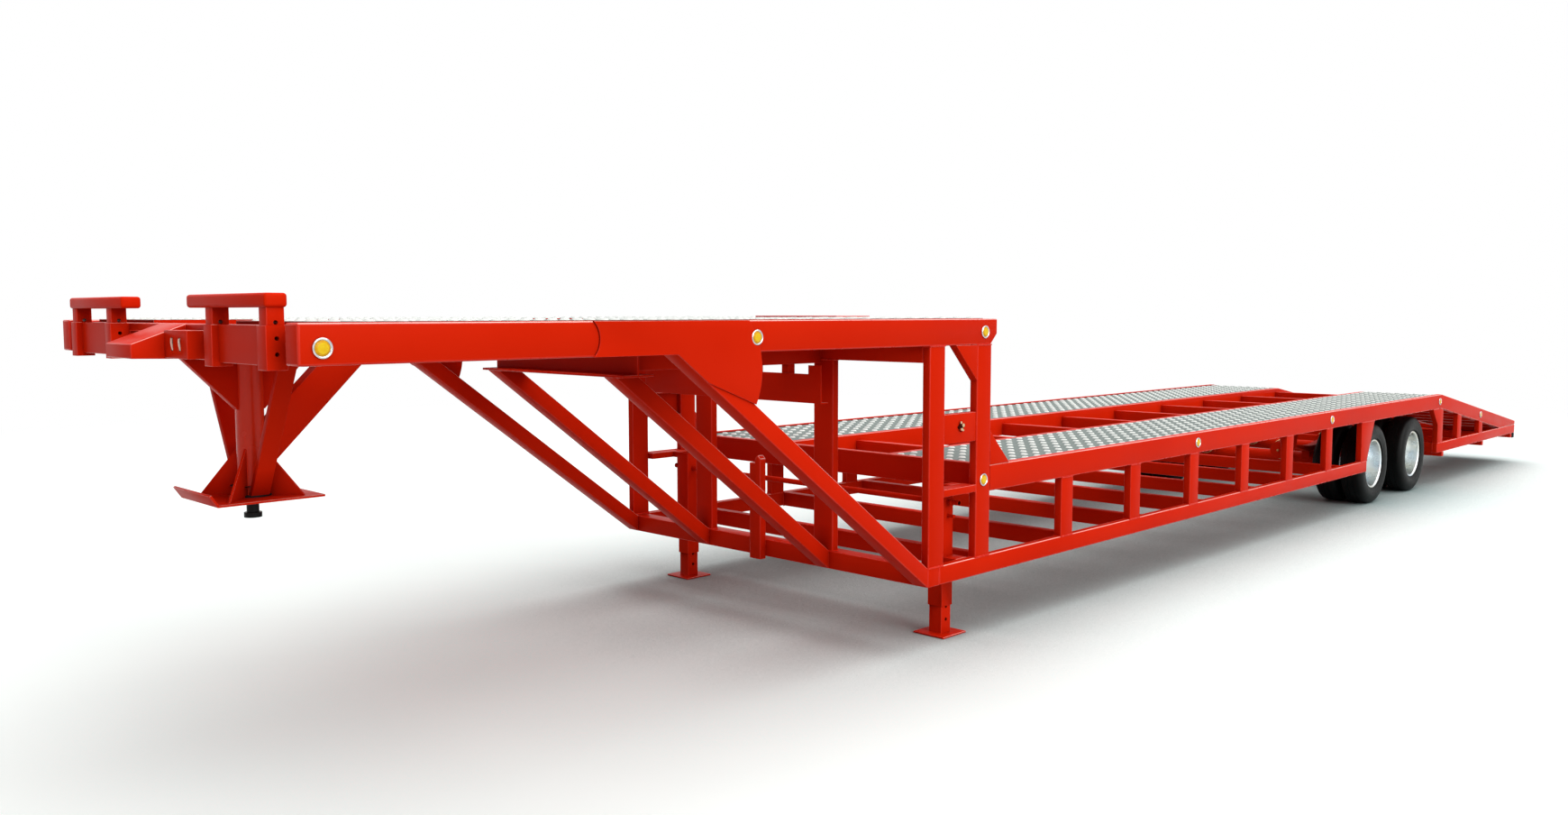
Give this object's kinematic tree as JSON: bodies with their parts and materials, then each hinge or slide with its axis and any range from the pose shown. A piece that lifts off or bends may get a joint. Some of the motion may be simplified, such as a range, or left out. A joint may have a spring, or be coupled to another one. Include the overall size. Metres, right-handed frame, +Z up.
{
  "type": "car transporter semi-trailer",
  "caption": "Gooseneck car-carrier semi-trailer: raised open neck with kingpin, low deck with twin runways and sloping tail, twin-tyred tandem axles, drop legs and pinned wheel stops.",
  "frame": {"origin": "ground level under the middle of the trailer, halfway between the front of the nose and the tail end and on the centre line", "axes": "+X forward towards the kingpin, +Y to the left side, +Z up"},
  "size_m": [15.456, 2.598, 1.902],
  "materials": {
    "red_paint": "gloss bright red paint",
    "galvanised_deck": "galvanised pressed plank",
    "wheel_steel": "silver",
    "tyre": "matt black rubber",
    "kingpin_steel": "black",
    "black_paint": "black",
    "lamp_chrome": "polished",
    "amber_lens": "clear amber"
  },
  "bodies": {
    "trailer_frame": {"air_line_box": "red_paint", "axle_front": "red_paint", "axle_rear": "red_paint", "bogie_rails": "red_paint", "coupler_plate": "red_paint", "deck_crossmembers": "red_paint", "deck_runways": "galvanised_deck", "floor_tubes": "red_paint", "frame_gussets": "red_paint", "front_crossbeams": "red_paint", "inner_deck_rails": "red_paint", "king_frame": "red_paint", "king_tube": "red_paint", "king_tube_braces": "red_paint", "kingpin": "kingpin_steel", "ladder_steps": "red_paint", "lamp_lenses": "amber_lens", "lamp_rings": "lamp_chrome", "leaf_springs": "red_paint", "leg_shaft": "red_paint", "leg_sleeves": "red_paint", "neck_braces": "red_paint", "neck_bridge_plate": "red_paint", "neck_crossmembers": "red_paint", "neck_doubler_plates": "red_paint", "neck_headers": "red_paint", "neck_posts": "red_paint", "neck_runways": "galvanised_deck", "neck_side_beams": "red_paint", "nose_crossmember": "red_paint", "nose_wedge": "red_paint", "rear_bumper": "black_paint", "side_rails": "red_paint", "sills": "red_paint", "strap_tray": "red_paint", "tail_carrier": "red_paint", "truss_posts": "red_paint", "wheel_stop_sockets": "red_paint"},
    "wheels_front_left": {"tyres_front_left": "tyre", "wheels_front_left": "wheel_steel"},
    "wheels_front_right": {"tyres_front_right": "tyre", "wheels_front_right": "wheel_steel"},
    "wheels_rear_left": {"tyres_rear_left": "tyre", "wheels_rear_left": "wheel_steel"},
    "wheels_rear_right": {"tyres_rear_right": "tyre", "wheels_rear_right": "wheel_steel"},
    "drop_leg_left": {"drop_leg_left": "red_paint"},
    "wheel_stop_left": {"wheel_stop_left": "red_paint"},
    "drop_leg_right": {"drop_leg_right": "red_paint"},
    "wheel_stop_right": {"wheel_stop_right": "red_paint"}
  },
  "joints": [
    {"name": "wheel_front_left_spin", "type": "hinge", "parent": "trailer_frame", "child": "wheels_front_left", "pos_m": [-2.945, 1, 0.383], "axis": [0, 1, 0], "continuous": true},
    {"name": "wheel_front_right_spin", "type": "hinge", "parent": "trailer_frame", "child": "wheels_front_right", "pos_m": [-2.945, -1, 0.383], "axis": [0, 1, 0], "continuous": true},
    {"name": "wheel_rear_left_spin", "type": "hinge", "parent": "trailer_frame", "child": "wheels_rear_left", "pos_m": [-4.085, 1, 0.383], "axis": [0, 1, 0], "continuous": true},
    {"name": "wheel_rear_right_spin", "type": "hinge", "parent": "trailer_frame", "child": "wheels_rear_right", "pos_m": [-4.085, -1, 0.383], "axis": [0, 1, 0], "continuous": true},
    {"name": "drop_leg_left_slide", "type": "slide", "parent": "trailer_frame", "child": "drop_leg_left", "axis": [0, 0, 1], "range_m": [0, 0.15]},
    {"name": "drop_leg_right_slide", "type": "slide", "parent": "trailer_frame", "child": "drop_leg_right", "axis": [0, 0, 1], "range_m": [0, 0.15]},
    {"name": "wheel_stop_left_slide", "type": "slide", "parent": "trailer_frame", "child": "wheel_stop_left", "axis": [0, 0, 1], "range_m": [0, 0.055]},
    {"name": "wheel_stop_right_slide", "type": "slide", "parent": "trailer_frame", "child": "wheel_stop_right", "axis": [0, 0, 1], "range_m": [0, 0.055]}
  ]
}
